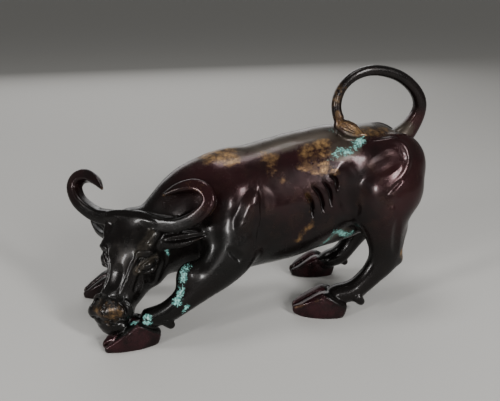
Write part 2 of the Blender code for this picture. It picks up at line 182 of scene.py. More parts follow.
# Shoulders and forelegs
# Cast with the trunk. Both forelegs crouch forward, the near one under the jaw and the far one stretched
# ahead.
for hand in (-1, 1):
    mass(body, (-25, hand * 20.5, 78), (19, 14.5, 33), 10)
limb(body, [
    (-25, -23, 76, 14, 22),
    (-25, -28, 61, 13, 19.5),
    (-35, -32, 49, 11, 16),
    (-49, -35.5, 38, 9.2, 11.2),
    (-62, -37, 28.8, 8.3, 9),
    (-72, -36.5, 21.8, 8, 7.8),
    (-84, -33.5, 17, 8, 7.3),
])
mass(body, (-54, -34, 44.5), (12, 8.5, 13), 25)
limb(body, [
    (-25, 23, 76, 14, 22),
    (-29, 28, 62, 13, 19.5),
    (-43, 32, 51, 11, 16),
    (-60, 36, 42, 9.5, 11.5),
    (-75, 39, 33, 8.5, 9.5),
    (-88, 40.5, 25, 8.5, 8.5),
    (-100, 41, 19, 8.5, 8),
])
mass(body, (-60, 33, 48), (11, 8, 13), 25)

# Skull
# Cast with the neck. The head hangs down and turns to the bull's left, so its places are counted from the
# poll along the head's own directions: across to its left, down the face, and out of the face.
POLL = Vector((-93.2, -13.5, 87.5))
HEAD_TURN = math.radians(52)
HEAD_ROLL = math.radians(3)
FACE_LEAN = math.radians(27)
MUZZLE_SET = 4.5
UP = Vector((0, 0, 1))

ahead = Vector((-math.cos(HEAD_TURN), -math.sin(HEAD_TURN), 0))
LEFT = Vector((math.sin(HEAD_TURN), -math.cos(HEAD_TURN), 0)) * math.cos(HEAD_ROLL) + UP * math.sin(HEAD_ROLL)
LEFT.normalize()
DOWN = ahead * math.sin(FACE_LEAN) - UP * math.cos(FACE_LEAN)
DOWN = (DOWN - DOWN.dot(LEFT) * LEFT).normalized()
OUT = DOWN.cross(LEFT)


def on_head(across, down, out):
    """A place on the head, from the poll: across to the bull's left, down the face, out of the face.

    The muzzle is set a little to the bull's right."""
    bend = MUZZLE_SET * min(max((down - 38) / 24, 0), 1)
    return POLL + LEFT * (across - bend) + DOWN * down + OUT * out


def head_mass(wax, across, down, out, radii):
    """A swelling on the head, its radii across, down and out of the face."""
    place = Matrix((LEFT, DOWN, OUT)).transposed().to_4x4() @ Matrix.Diagonal((*radii, 1))
    place = Matrix.Translation(on_head(across, down, out)) @ place
    bmesh.ops.create_uvsphere(wax, u_segments=24, v_segments=14, radius=1.0, matrix=place)


def head_limb(wax, stations, power=2.0, side=LEFT, twist=0):
    """A limb whose stations are places on the head."""
    limb(wax, [(*on_head(*row[:3]), *row[3:]) for row in stations], power, side, twist)


head_limb(body, [
    (0, 4, -12, 17, 9.5),
    (0, 14, -16, 19.5, 15.5),
    (0, 28, -19, 19.5, 19),
    (0, 40, -18, 15.5, 17.5),
    (1.5, 50, -15, 12.5, 14.2),
    (0.5, 59, -12, 11.5, 12),
    (0, 66, -12, 12, 11),
], power=2.5)
for hand in (-1, 1):
    head_mass(body, hand * 12, 32, -28, (7.5, 16, 12))
    head_mass(body, hand * 16, 24, -7, (6, 7, 7))
head_mass(body, 10.5, 64, -7.5, (6.5, 7, 8))
head_mass(body, -12.5, 68.5, -8, (6.5, 6.5, 7.5))
head_mass(body, 0, 67, -7.5, (12, 7.5, 9.5))
head_mass(body, 0, 77, -12, (10, 6.5, 9))

# First working over
# The big masses become one skin of wax and are smoothed until no seam between them shows.
BODY_GRAIN = 2.2
BODY_STROKES = 14


def worked(wax, grain, strokes, finer=0, skin=None):
    """New shapes laid on the skin so far: one skin, with a grain, smoothed by strokes and made finer."""
    if skin:
        wax.from_mesh(skin)
    mesh = bpy.data.meshes.new("wax")
    wax.to_mesh(mesh)
    wax.free()
    lump = bpy.data.objects.new("wax", mesh)
    bpy.context.scene.collection.objects.link(lump)
    joining = lump.modifiers.new("Skin", "REMESH")
    joining.mode = "VOXEL"
    joining.voxel_size = grain
    smoothing = lump.modifiers.new("Strokes", "SMOOTH")
    smoothing.factor = 0.5
    smoothing.iterations = strokes
    subdivision = lump.modifiers.new("Finer", "SUBSURF")
    subdivision.levels = subdivision.render_levels = finer
    bpy.context.view_layer.update()
    done = bpy.data.meshes.new_from_object(lump.evaluated_get(bpy.context.evaluated_depsgraph_get()))
    bpy.data.objects.remove(lump)
    bpy.data.meshes.remove(mesh)
    return done


skin = worked(body, BODY_GRAIN, BODY_STROKES, finer=1)

# Face
# Modelled on the skull before casting: the poll's ridge between the horns, the brows, the sharp edges of the
# nasal bone, the cheeks, the wings of the nose and the lips.
wax = bmesh.new()
head_limb(wax, [
    (-28, 4, -11, 4.4, 4.4),
    (-18, 4, -9.8, 5.6, 5),
    (-8, 3, -8.8, 5.6, 4.6),
    (8, 3, -8.8, 5.6, 4.6),
    (18, 4, -9.8, 5.6, 5),
    (28, 4, -11, 4.4, 4.4),
], side=OUT)
for hand in (-1, 1):
    head_limb(wax, [
        (hand * 19, 9, -10, 4.5, 4),
        (hand * 17.5, 15, -8.5, 4.2, 4),
        (hand * 15, 21, -6.5, 3.6, 3.6),
        (hand * 10.5, 27, -5.5, 2.4, 2.4),
    ])
    head_limb(wax, [
        (hand * 12, 29, -7, 1.8, 1.8),
        (hand * 9.5, 36, -6.2, 1.6, 1.8),
        (hand * 8, 46, -6, 1.6, 2.0),
        (hand * 7.5, 56, -4.6, 1.6, 2.0),
    ], power=3.5, side=OUT, twist=hand * 20)
    head_limb(wax, [
        (hand * 11, 38, -9, 2, 2.4),
        (hand * 9, 45, -10, 1.6, 2.2),
        (hand * 8.5, 52, -11, 1.2, 1.6),
    ])
    head_limb(wax, [
        (hand * 10, 58, -5.5, 2.2, 2.2),
        (hand * 12.5, 61.5, -6.5, 2.4, 2.4),
        (hand * 12.5, 66, -8, 2.4, 2.4),
        (hand * 9.5, 71, -9.5, 2.0, 2.0),
    ])
head_limb(wax, [
    (-10, 75.5, -11, 2.4, 3),
    (-4, 76.5, -6.5, 2.6, 3),
    (4, 76.5, -6.5, 2.6, 3),
    (10, 75.5, -11, 2.4, 3),
])

# Ears
# Leaf-shaped, cast with the head, out and back from under the horns.
EAR = (
    (16, 17, -13, 3.5, 4.0),
    (24, 15.5, -15, 3.0, 5.4),
    (34, 12.5, -18.5, 2.2, 5.6),
    (43, 9.0, -22.0, 1.5, 3.8),
    (50, 6.5, -24.5, 0.7, 1.0),
)
for hand in (-1, 1):
    head_limb(wax, [(hand * a, *rest) for a, *rest in EAR], side=OUT)

# Tail
# Cast in its own mould and joined at the rump: it rises, loops forward over the back, and comes down on the
# loin, where its tuft of hair lies back along the near side.
limb(wax, [
    (104, 0, 121, 8.0, 9.0),
    (113, -1, 130, 6.0, 6.8),
    (118.5, -3, 142, 5.0, 5.0),
    (117.5, -5, 152, 4.7, 4.5),
    (111, -6, 161.5, 4.4, 4.2),
    (100, -7, 169.5, 4.1, 4.0),
    (87, -8, 173.8, 3.8, 3.8),
    (74.5, -9, 174.5, 3.6, 3.6),
    (63.5, -10, 171.0, 3.5, 3.5),
    (55.5, -11, 164, 3.4, 3.4),
    (51.8, -12, 154.5, 3.4, 3.4),
    (52.5, -13, 146.0, 3.6, 3.6),
    (56.5, -14, 138.0, 4.2, 4.2),
], power=2.6)

TUFT = (
    (53, -14.5, 139.0, 3.6, 4.0),
    (57.5, -16.2, 138.0, 4.8, 6.2),
    (63, -17.5, 136.2, 4.8, 5.8),
    (69, -18.6, 133.6, 3.4, 3.4),
    (74, -19.6, 131.4, 0.9, 0.9),
)
limb(wax, TUFT)

# Second working over
# Head, horns, ears and tail grow into the skin.
LIMB_GRAIN = 1.1
LIMB_STROKES = 4
skin = worked(wax, LIMB_GRAIN, LIMB_STROKES, skin=skin)

# Eyes
# Polished balls between raised, almond-shaped lids, cast with the head. Each eye's long way runs from its
# rear corner down to the corner by the nose.
EYE = Vector((15.4, 32.5, -10.3))
EYE_RADIUS = 6.0
EYE_SET = 1.9
EYE_LENGTH = 8.6
EYE_HEIGHT = 3.6
LID_SHARES = (-1.0, -0.75, -0.4, 0.0, 0.4, 0.75, 1.0)
LID_TAPER = (0.5, 0.85, 1, 1, 1, 0.85, 0.5)
LID_THICKNESS = ((1, 1.25), (-1, 1.0))
LID_RISE = 0.6
EYE_OUT = Vector((0.78, 0.05, 0.62)).normalized()
EYE_LONG = Vector((-0.55, 0.64, 0.54))
EYE_LONG = (EYE_LONG - EYE_LONG.dot(EYE_OUT) * EYE_OUT).normalized()
EYE_HIGH = EYE_OUT.cross(EYE_LONG)


def on_eye(hand, along, high, out):
    """A place by an eye: along to the nose's corner, high to the brow, out from the ball's middle."""
    a, d, o = EYE + EYE_LONG * along + EYE_HIGH * high + EYE_OUT * out
    return on_head(hand * a, d, o)


def lid_line(hand, lid, rise):
    """A line over the eye from corner to corner, a rise beyond the upper (1) or lower (-1) lid's edge."""
    line = []
    for share in LID_SHARES:
        along = EYE_LENGTH * share
        high = lid * ((EYE_HEIGHT + rise) * (1 - share**2) + 0.4 * rise)
        out = math.sqrt(max(EYE_RADIUS**2 - along**2 - high**2, EYE_SET**2))
        line.append(on_eye(hand, along, high, out))
    return line


wax = bmesh.new()
for hand in (-1, 1):
    head_mass(wax, hand * EYE.x, EYE.y, EYE.z, (EYE_RADIUS,) * 3)
    for lid, thick in LID_THICKNESS:
        line = zip(lid_line(hand, lid, LID_RISE), LID_TAPER)
        limb(wax, [(*place, thick * taper, thick * taper) for place, taper in line])

# Horns
# Slender and cast with the head: out and back from the poll, up, and in again at the tips. They are filed to
# four flat faces with crisp corners, which makes the light run along them as bands.
for hand in (-1, 1):
    head_limb(wax, [
        (hand * 13, 5.5, -12.5, 4.6, 4.6),
        (hand * 20, 4.6, -11, 5.6, 5.4),
        (hand * 34, 3.5, -11, 5.1, 4.9),
        (hand * 48.5, -3.5, -9.5, 4.8, 4.6),
        (hand * 55.5, -13, -9, 4.8, 4.5),
        (hand * 52.5, -20, -8, 4.8, 4.5),
        (hand * 44, -22.5, -7, 4.5, 4.2),
        (hand * 34, -19.5, -4.5, 3.5, 3.2),
        (hand * 25, -14, -1.5, 1.1, 1.1),
    ], power=4.5, side=OUT, twist=hand * 15)

# Hooves
# Cast with the legs. Each has two claws with flat sides, a sharp edge down the front, a deep cleft between
# them, and a rim round the coronet; two dewclaws stand behind each fetlock. The toes turn up, the hind most.
HOOVES = (
    ((60, -28.5), -14, 1.0, 0.32),
    ((74, 38), -3, 0.92, 0.30),
    ((-78.5, -30.5), 12, 0.96, 0.14),
    ((-94, 40), -2, 0.94, 0.20),
)
DEWCLAWS = ((71, -30, 9), (84, 35, 9), (-69, -37, 13), (-86, 41, 14))
HOOF_LENGTH = 39.0
HOOF_HEIGHT = 18.5
CLAW_WIDTH = 11.0
CLAW_LAP = 0.8
CLAW_RUNS = (0.08, 0.2, 0.35, 0.5, 0.6, 0.7, 0.8, 0.88)
CLAW_POWER = 3.6
CLAW_LEAN = 7


def on_hoof(hoof, run, across, rise):
    """A place on a hoof: run from toe to heel, across in units, rise from the sole to the coronet."""
    heel, turn, size, toe = hoof
    place = Matrix.Rotation(math.radians(turn), 3, "Z") @ Vector((HOOF_LENGTH * (run - 1), across, 0)) * size
    return place + Vector((*heel, HOOF_HEIGHT * rise * size))


def claw_section(hoof, run):
    """Top, sole and width of a claw: its front slopes up to the coronet, which slopes down to the heel."""
    toe = hoof[-1]
    top = min(toe + (0.98 - toe) * run / 0.54, 1.0 - 1.25 * (run - 0.62))
    sole = max(0.6 * toe - 0.12 - 0.8 * run, -0.14)
    return top, sole, CLAW_WIDTH * (0.40 + 1.95 * run - 1.6 * run**2)


def on_claw(hoof, hand, run, angle):
    """A place on a claw's outline, at an angle up from its outer side."""
    top, sole, width = claw_section(hoof, run)
    c, s = (math.copysign(abs(k) ** (2 / CLAW_POWER), k) for k in (math.cos(angle), math.sin(angle)))
    return on_hoof(hoof, run, hand * width * (0.5 + 0.5 * c), (top + sole) / 2 + s * (top - sole) / 2)


for hoof in HOOVES:
    _, turn, size, _ = hoof
    across = Matrix.Rotation(math.radians(turn), 3, "Z") @ Vector((0, 1, 0))
    for hand in (-1, 1):
        claw = []
        for run in CLAW_RUNS:
            top, sole, width = claw_section(hoof, run)
            core = on_hoof(hoof, run, hand * width / 2, (top + sole) / 2)
            claw.append((*core, size * (width + CLAW_LAP) / 2, size * HOOF_HEIGHT * (top - sole) / 2))
        limb(wax, claw, power=CLAW_POWER, side=across, twist=hand * CLAW_LEAN)
for x, y, z in DEWCLAWS:
    for hand in (-1, 1):
        limb(wax, [(x - 4, y + hand * 4, z + 5, 3.5, 4), (x - 1, y + hand * 4.5, z + 1.5, 2.6, 3.0)])

# Chasing
# After the last working over the chaser cuts and raises the ribs, muscles, face, hooves and the tuft's hair.
# Each cut sinks the skin along a line of points, to a width and a depth; a depth below nothing raises it, and
# a lean makes one side steeper.
FINE_GRAIN = 0.72
FINE_STROKES = 2
CUT_STEP = 0.5
CUT_ENDS = 0.02
RIBS = ((24.5, 98, 31, 78), (29.5, 103, 39, 81), (37.5, 105, 44.5, 85), (43, 108.5, 48.5, 97))
FLANK_OUT = 31.0
RIB_BOW = 1.8
CORONET = ((0.57, 85), (0.6, 50), (0.7, 42), (0.82, 35), (0.95, 30))
FRONT_ANGLE = 48
FRONT_RUNS = (0.08, 0.2, 0.35, 0.52)
FLUTE_ANGLES = range(-60, 120, 22)
FLUTE_SWEEPS = (45, 30, 15, 5, 0)

skin = worked(wax, FINE_GRAIN, FINE_STROKES, skin=skin)


def carve(skin, cuts):
    """Cuts (points, width, depth, lean) into a skin, each laid on it and then sunk along its normals.

    The skin is read as it is before the first cut."""
    lump = bpy.data.objects.new("skin", skin)
    bpy.context.scene.collection.objects.link(lump)
    bpy.context.view_layer.update()
    laid = [[lump.closest_point_on_mesh(Vector(point))[1] for point in points] for points, *rest in cuts]
    bpy.data.objects.remove(lump)
    count = len(skin.vertices)
    places = np.empty(count * 3, np.float32)
    outward = np.empty(count * 3, np.float32)
    skin.vertices.foreach_get("co", places)
    skin.vertex_normals.foreach_get("vector", outward)
    places = places.reshape(-1, 3).astype(float)
    outward = outward.reshape(-1, 3).astype(float)
    sunk = np.zeros(count)
    for points, (_, width, depth, lean) in zip(laid, cuts):
        path = curve(points, CUT_STEP)[:, :3]
        reach = width / (1 - abs(lean))
        near = np.where(np.all((places > path.min(0) - reach) & (places < path.max(0) + reach), axis=1))[0]
        steps = places[near][:, None] - path[None]
        gaps = np.linalg.norm(steps, axis=2)
        nearest = gaps.argmin(axis=1)
        run = np.gradient(path, axis=0)[nearest]
        step = steps[np.arange(len(steps)), nearest]
        along = np.clip((step * run).sum(axis=1) / (run * run).sum(axis=1), -0.5, 0.5)
        share = np.clip((nearest + along) / (len(path) - 1), 0, 1)
        side = (np.cross(run, outward[near]) * step).sum(axis=1) / np.linalg.norm(run, axis=1)
        slope = lean * np.clip(side / (0.3 * width), -1, 1)
        gap = np.linalg.norm(step - run * along[:, None], axis=1)
        fade = np.sin(np.pi / 2 * np.minimum(1, CUT_ENDS + 3 * np.minimum(share, 1 - share)))
        bite = np.clip(1 - (gap * (1 + slope) / (width * (0.5 + 0.5 * fade))) ** 2, 0, 1) ** 2
        sunk[near] += depth * fade * bite
    places -= outward * sunk[:, None]
    skin.vertices.foreach_set("co", places.astype(np.float32).ravel())
    skin.update()


muscle_lines = (
    ([(-6.4, 28.4, 105), (-5.3, 31.4, 96.5), (-5, 33.1, 88), (-5.4, 33.7, 79), (-8, 34.6, 70),
      (-11.6, 36.4, 61)], 4.5, 1.7, 0.6),
    ([(-9, 30, 102), (-13, 33, 92), (-17, 35, 83), (-23, 36, 75)], 8.5, -2.6, 0),
    ([(-30, 39, 66), (-25, 40, 60), (-21, 40, 56)], 4.0, 1.3, 0.3),
    ([(80, 27, 122), (87, 33, 108)], 14.0, 1.6, 0),
    ([(93, 36, 104), (88, 37, 100), (82, 38.3, 94.5)], 2.4, 0.8, 0),
    ([(71, 20.5, 127.5), (80.5, 21.5, 129), (89.5, 24.2, 129), (96, 27.5, 126), (98.7, 31, 119.3),
      (98.2, 33, 113.3), (94.5, 35.3, 107.5), (86, 37.5, 101)], 4.0, -1.1, 0),
    ([(57, 24, 116), (54, 29, 100), (57, 31, 88), (64, 32, 77)], 10.0, 2.2, 0),
    ([(86, 40, 87), (84, 40, 80), (81, 38.6, 70)], 5.0, -0.8, 0),
    ([(90, 39, 78), (91, 38.5, 66), (92, 37, 56), (93.5, 36, 47)], 5.0, 1.4, 0),
)
cuts = []
for hand in (-1, 1):
    for points, width, depth, lean in muscle_lines:
        cuts.append(([(x, hand * y, z) for x, y, z in points], width, depth, -hand * lean))
    for top_x, top_z, foot_x, foot_z in RIBS:
        belly = ((top_x + foot_x) / 2 + RIB_BOW, (top_z + foot_z) / 2 + RIB_BOW)
        points = [(x, hand * FLANK_OUT, z) for x, z in ((top_x, top_z), belly, (foot_x, foot_z))]
        cuts.append((points, 2.0, 3.4, -0.25 * hand))

face_lines = (
    ([(9, 59.5, -1), (12.2, 61, -2.5), (13.4, 64, -4.5), (12, 67.5, -6)], 1.5, 2.2, 0),
    ([(8, 57, -1.5), (12.5, 57.5, -4), (15.4, 61, -7), (15.6, 66, -9), (12, 71, -9.5)], 1.3, -0.8, 0),
    ([(0, 73, -1.5), (6, 72.8, -2.5), (11, 71, -5.5), (13, 69.5, -11), (12.5, 66, -16)], 1.4, 2.0, 0),
    ([(0, 75.4, -3), (6, 75.2, -4), (11, 73.4, -7)], 1.6, -0.7, 0),
    ([(0, 62, 2), (0, 66, 1.5), (0, 71, 0)], 1.4, 0.6, 0),
    ([(0, 57, -2), (6, 57.5, -2.5), (10, 56, -4.5)], 1.8, 0.7, 0),
    ([(0, 34, -1.5), (0, 44, -3.2), (0, 53, -3)], 6.0, 0.6, 0),
    ([(13.5, 27, -5), (10.5, 32, -3), (8.8, 39, -3), (7.8, 47, -3.5), (7.6, 56, -2.2)], 2.2, -1.3, 0),
    ([(13.5, 37, -8), (12.5, 44, -9.5), (11.5, 52, -9)], 3.0, 1.2, 0),
    ([(11.2, 38.2, -11), (10.5, 44, -13), (9.3, 50.5, -14)], 1.8, -0.9, 0),
    ([(12.2, 40, -12), (13.6, 43.1, -18), (14.8, 43.7, -24.3)], 2.2, -0.8, 0),
    ([(19, 9.1, -6.4), (18.5, 14.3, -5.6), (16, 20, -3)], 2.6, -0.9, 0),
    ([(22, 2, -5), (12.5, 0, -6), (0, -1, -5.7)], 2.2, -0.8, 0),
    ([(22, 20, -16), (24, 28, -20), (21, 38, -24), (17, 46, -26)], 3.0, 0.9, 0.3),
)
eye_lines = (
    (1, -0.6, 1.1, 0.9),
    (-1, -0.5, 1.0, 0.7),
    (1, 2.6, 1.5, 1.2),
    (1, 4.4, 2.0, -0.8),
    (-1, 2.4, 1.6, 0.6),
)
for hand in (-1, 1):
    for points, width, depth, lean in face_lines:
        cuts.append(([on_head(hand * a, d, o) for a, d, o in points], width, depth, -hand * lean))
    for lid, rise, width, depth in eye_lines:
        cuts.append((lid_line(hand, lid, rise), width, depth, 0))
    ear = [on_head(hand * a, d, o + wide) for a, d, o, wide, deep in EAR[1:]]
    cuts.append((ear, 2.6, 2.0, 0))

for hoof in HOOVES:
    toe = hoof[-1]
    cleft = ((0.03, toe - 0.2), (0.00, toe), (0.28, toe / 2 + 0.5), (0.56, 1.00))
    cuts.append(([on_hoof(hoof, run, 0, rise) for run, rise in cleft], 2.2, 3.4, 0))
    for hand in (-1, 1):
        rim = [on_claw(hoof, hand, run, math.radians(angle)) for run, angle in CORONET]
        cuts.append((rim, 2.2, -0.8, 0))
        front = [on_claw(hoof, hand, run, math.radians(FRONT_ANGLE)) for run in FRONT_RUNS]
        cuts.append((front, 1.6, -0.5, 0))

for angle in FLUTE_ANGLES:
    flute = []
    for (x, y, z, wide, deep), sweep in zip(TUFT, FLUTE_SWEEPS):
        turn = math.radians(angle + sweep)
        flute.append((x, y - wide * math.cos(turn), z + deep * math.sin(turn)))
    cuts.append((flute, 1.5, 2.2, 0))
carve(skin, cuts)

# Casting
# The bronze as it stands: its faces thinned where it is smooth, its hooves ground flat, centred over the
# origin. It is one skin, so small hollows that the grinding closes off under the soles are taken out.
CAST_FACES = 192000

lump = bpy.data.objects.new("skin", skin)
bpy.context.scene.collection.objects.link(lump)
fewer = lump.modifiers.new("Fewer", "DECIMATE")
fewer.ratio = CAST_FACES / (2 * len(skin.polygons))
fewer.use_collapse_triangulate = True
bpy.context.view_layer.update()
casting = bmesh.new()
casting.from_mesh(lump.evaluated_get(bpy.context.evaluated_depsgraph_get()).to_mesh())
bpy.data.objects.remove(lump)
everything = casting.verts[:] + casting.edges[:] + casting.faces[:]
ground = {"plane_co": (0, 0, 0), "plane_no": (0, 0, 1)}
sole = bmesh.ops.bisect_plane(casting, geom=everything, clear_inner=True, **ground)
rims = [g for g in sole["geom_cut"] if isinstance(g, bmesh.types.BMEdge)]
bmesh.ops.holes_fill(casting, edges=rims, sides=0)
bmesh.ops.triangulate(casting, faces=casting.faces)
shells = []
met = set()
for first in casting.verts:
    if first in met:
        continue
    met.add(first)
    shell = [first]
    for v in shell:
        for e in v.link_edges:
            neighbour = e.other_vert(v)
            if neighbour not in met:
                met.add(neighbour)
                shell.append(neighbour)
    shells.append(shell)
shells.sort(key=len)
hollows = [v for shell in shells[:-1] for v in shell]
bmesh.ops.delete(casting, geom=hollows, context="VERTS")
bmesh.ops.recalc_face_normals(casting, faces=casting.faces)
middle = Vector(((min(v.co.x for v in casting.verts) + max(v.co.x for v in casting.verts)) / 2,
                 (min(v.co.y for v in casting.verts) + max(v.co.y for v in casting.verts)) / 2, 0))
bmesh.ops.translate(casting, vec=-middle, verts=casting.verts)
bmesh.ops.scale(casting, vec=(UNIT, UNIT, UNIT), verts=casting.verts)
mesh = bpy.data.meshes.new("bronze_bull")
casting.to_mesh(mesh)
casting.free()
mesh.shade_smooth()
bull = bpy.data.objects.new("bronze_bull", mesh)
bpy.context.scene.collection.objects.link(bull)

# Patina
# Brown-black and oxblood patina, waxed, rubbed through to the gold of the metal where hands and cloths reach,
# and green with verdigris where it stays damp. Painted light is laid in with it: painted shade darkens the
# lower body, and a painted sheen and highlights lighten the top of the back, the brow and the lids. Where
# each lies is painted on the casting as an attribute, in dabs of a strength and a radius along lines of
# places.
places = np.array([v.co for v in mesh.vertices]) / UNIT + np.array(middle)
outward = np.array([v.vector for v in mesh.vertex_normals])


def paint(name, dabs):
    """A painted attribute: the strongest of its dabs (points, radius, strength) at each place."""
    amount = np.zeros(len(places))
    for points, radius, strength in dabs:
        path = curve(points, radius / 3) if len(points) > 1 else np.array(points, float)
        near = np.all((places > path.min(0) - radius) & (places < path.max(0) + radius), axis=1)
        gaps = np.linalg.norm(places[near][:, None] - path[None], axis=2).min(axis=1)
        amount[near] = np.maximum(amount[near], strength * np.clip(1 - (gaps / radius) ** 2, 0, 1))
    record(name, amount)


def record(name, amount):
    """An attribute of the casting's points, which the patina reads."""
    attribute = mesh.attributes.new(name, "FLOAT", "POINT")
    attribute.data.foreach_set("value", amount.astype(np.float32))


paint("gold", [
    ([(-37.4, -1.7, 119.4), (-28, 0.5, 122.5), (-22, -4, 122.5)], 9, 1.05),
    ([(-36.3, -7.5, 118.1), (-28, -9, 119), (-22, -12, 118)], 8, 0.95),
    ([(0, -15, 121), (2.5, -17.4, 119.7), (7, -18.8, 119.1)], 5, 0.65),
    ([(4.2, -21.5, 115.9), (2.2, -24.1, 111.9)], 5, 0.6),
    ([(11.7, -27.7, 106.7), (15, -28.2, 105.9)], 4, 0.45),
    ([(27, -18, 124), (35, -17.5, 126), (45, -16.8, 127.6)], 5, 0.9),
    ([(25.5, -20.2, 121.1), (36.3, -22.1, 120.3), (42, -21.5, 121.9)], 5.5, 0.85),
    ([(22.5, -23.6, 116), (31, -24.5, 115.5), (40.4, -25.6, 114.7)], 6, 0.9),
    ([(26.4, -24.7, 114.6), (31, -26.4, 112), (43.6, -27, 111.3), (48.5, -27.4, 109.5)], 5, 0.95),
    ([(26.8, -29.9, 96.3), (28.2, -30.8, 89.3)], 3, 0.5),
    ([(29.1, -30.8, 82.7), (30.5, -30.6, 75), (25, -30.4, 70.3), (22.4, -28.8, 63.8)], 4.5, 0.75),
    ([(54, -17, 141), (62, -20, 138), (74, -20, 132)], 6, 0.72),
    ([(84, -12, 133), (76, -10, 134.5), (92, -14, 132)], 9, 0.75),
    ([(52, -13, 146), (51.5, -12, 155), (55, -11, 164)], 5, 0.75),
    ([(102, -31.5, 41), (100, -33, 46)], 4, 0.9),
    ([on_head(*p) for p in ((50, -21.5, -5), (44, -23, -4), (34, -20, -2), (26, -15, 0))], 5, 0.55),
    ([on_head(*p) for p in ((-6, 63, 1), (-2, 67, 1), (3, 64, 2), (8, 66, 0), (4, 70, 0))], 8, 0.7),
    ([(-55, -32, 105), (-47, -34, 104), (-43, -38, 98), (-40, -38, 93)], 6, 0.62),
    ([on_claw(HOOVES[0], -1, run, 0.8) for run in (0.05, 0.3, 0.5)], 2, 0.55),
])
paint("verdigris", [
    ([(70.5, -19.2, 129.2), (66.4, -19, 126.8), (63.9, -21.1, 124.1)], 4, 1.1),
    ([(61.8, -19.2, 126.5), (58.3, -22.5, 121.8)], 5, 0.9),
    ([(54.6, -21.2, 123.8), (50.6, -22.5, 121.6), (47.5, -24, 118.8)], 5, 0.85),
    ([(51, -13, 137), (50, -8.2, 134)], 5, 0.65),
    ([(66.4, -18.5, 59.8), (61.4, -17.5, 58.3), (54, -21, 64)], 4.5, 1.0),
    ([(52, -24.4, 67.5), (48.5, -20.7, 59.3), (46, -17.8, 54.3), (43.5, -14.4, 49.9)], 4, 0.8),
    ([(-57, -36, 54), (-59.4, -37.1, 50.8), (-61.1, -38.4, 45.8)], 5, 1.1),
    ([(-62.8, -39.5, 40.6), (-64.6, -41.8, 36), (-66.2, -43.1, 32.5)], 5, 1.05),
    ([(-84, -40, 21), (-88, -38.6, 22), (-92, -38.7, 21), (-95, -38.3, 17.6)], 3.6, 0.95),
    ([(-87, -39, 16.5), (-83, -41, 18.5)], 3, 0.9),
    ([(-59, -44, 29), (-62, -43.5, 24.6)], 2.6, 0.9),
    ([(-69, -25.5, 62.6), (-68.5, -25, 59)], 2.2, 0.9),
    ([(60, 12, 62), (54, 8, 56)], 7, 0.6),
    ([(-60, 30, 50), (-66, 34, 42)], 5, 0.5),
])
# Pale dry wax, with painted sheen and painted highlights: the dabs along the top of the back and loin paint a
# pale sheen, partly a reflection and partly dry wax; those on the brow and lids paint highlights; the dabs by
# the verdigris and on the forehead are pale dry wax.
paint("dry_wax_and_sheen", [
    ([(-40, 0, 116), (-20, -1, 124), (0, -5, 126), (20, -8, 129), (42, -9, 132), (54, -15, 129)], 15, 1.0),
    ([(54, -20, 124), (60, -14, 131), (80, -4, 135), (104, -2, 131)], 15, 1.0),
    ([(62, -20, 125), (50, -22, 121)], 9, 1.2),
    ([(46, -18, 55), (54, -21, 62), (62, -18, 60)], 7, 1.0),
    ([on_head(*p) for p in ((18, 12, -5), (16, 20, -4), (13, 26, -4))], 6, 0.75),
    ([on_head(*p) for p in ((0, 12, -2), (0, 28, -1))], 14, 0.35),
    ([on_head(*p) for p in ((21, 27, -11), (16, 33, -4), (11, 38, -6))], 4, 0.8),
])
HOOF_REDNESS = (1, 1, 1, 0.45)
hoof_amount = np.zeros(len(places))
for (heel, turn, size, toe), redness in zip(HOOVES, HOOF_REDNESS):
    local = (places - np.array((*heel, 0))) @ np.array(Matrix.Rotation(math.radians(turn), 3, "Z")) / size
    run, rise = 1 + local[:, 0] / HOOF_LENGTH, local[:, 2] / HOOF_HEIGHT
    shell = (run > -0.1) & (run < 1.08) & (rise < toe + 0.1 + 1.35 * run) & (run < 1.2 - 0.62 * rise)
    hoof_amount[shell & (abs(local[:, 1]) < 15)] = redness
record("hoof", hoof_amount)
# Black patina on the head and the top of the tail, and painted shade lower down: the legs, belly and lower
# haunches are painted darker the lower they lie.
HEAD_DARK_REACH = 60
PAINTED_SHADE_BELOW = 92
PAINTED_SHADE_OVER = 45
TAIL_DARK_ABOVE = 138
TAIL_DARK_OVER = 14
from_head = np.linalg.norm(places - np.array(on_head(0, 30, -10)), axis=1)
darkness_and_shade = np.clip(1.5 - from_head / HEAD_DARK_REACH, 0, 1)
# Painted shade: places below the middle of the haunches are painted darker the lower they lie.
darkness_and_shade += np.clip((PAINTED_SHADE_BELOW - places[:, 2]) / PAINTED_SHADE_OVER, 0, 1)
darkness_and_shade += np.clip((places[:, 2] - TAIL_DARK_ABOVE) / TAIL_DARK_OVER, 0, 0.8)
record("black_patina_and_low_shade", np.clip(darkness_and_shade, 0, 1))

HOLLOW_PASSES = 3
HOLLOW_STRENGTH = 3.5
edges = np.array([e.vertices[:] for e in mesh.edges])
hollow = np.zeros(len(places))
for here, there in ((edges[:, 0], edges[:, 1]), (edges[:, 1], edges[:, 0])):
    step = places[there] - places[here]
    np.add.at(hollow, here, (step * outward[here]).sum(axis=1) / np.linalg.norm(step, axis=1).clip(1e-6))
neighbours = np.bincount(edges.ravel(), minlength=len(places)).clip(1)
hollow /= neighbours
for _ in range(HOLLOW_PASSES):
    total = np.zeros(len(places))
    for here, there in ((edges[:, 0], edges[:, 1]), (edges[:, 1], edges[:, 0])):
        np.add.at(total, here, hollow[there])
    hollow = 0.4 * hollow + 0.6 * total / neighbours
record("hollow", np.clip(hollow * HOLLOW_STRENGTH, 0, 1))
record("edge", np.clip(-hollow * HOLLOW_STRENGTH, 0, 1))

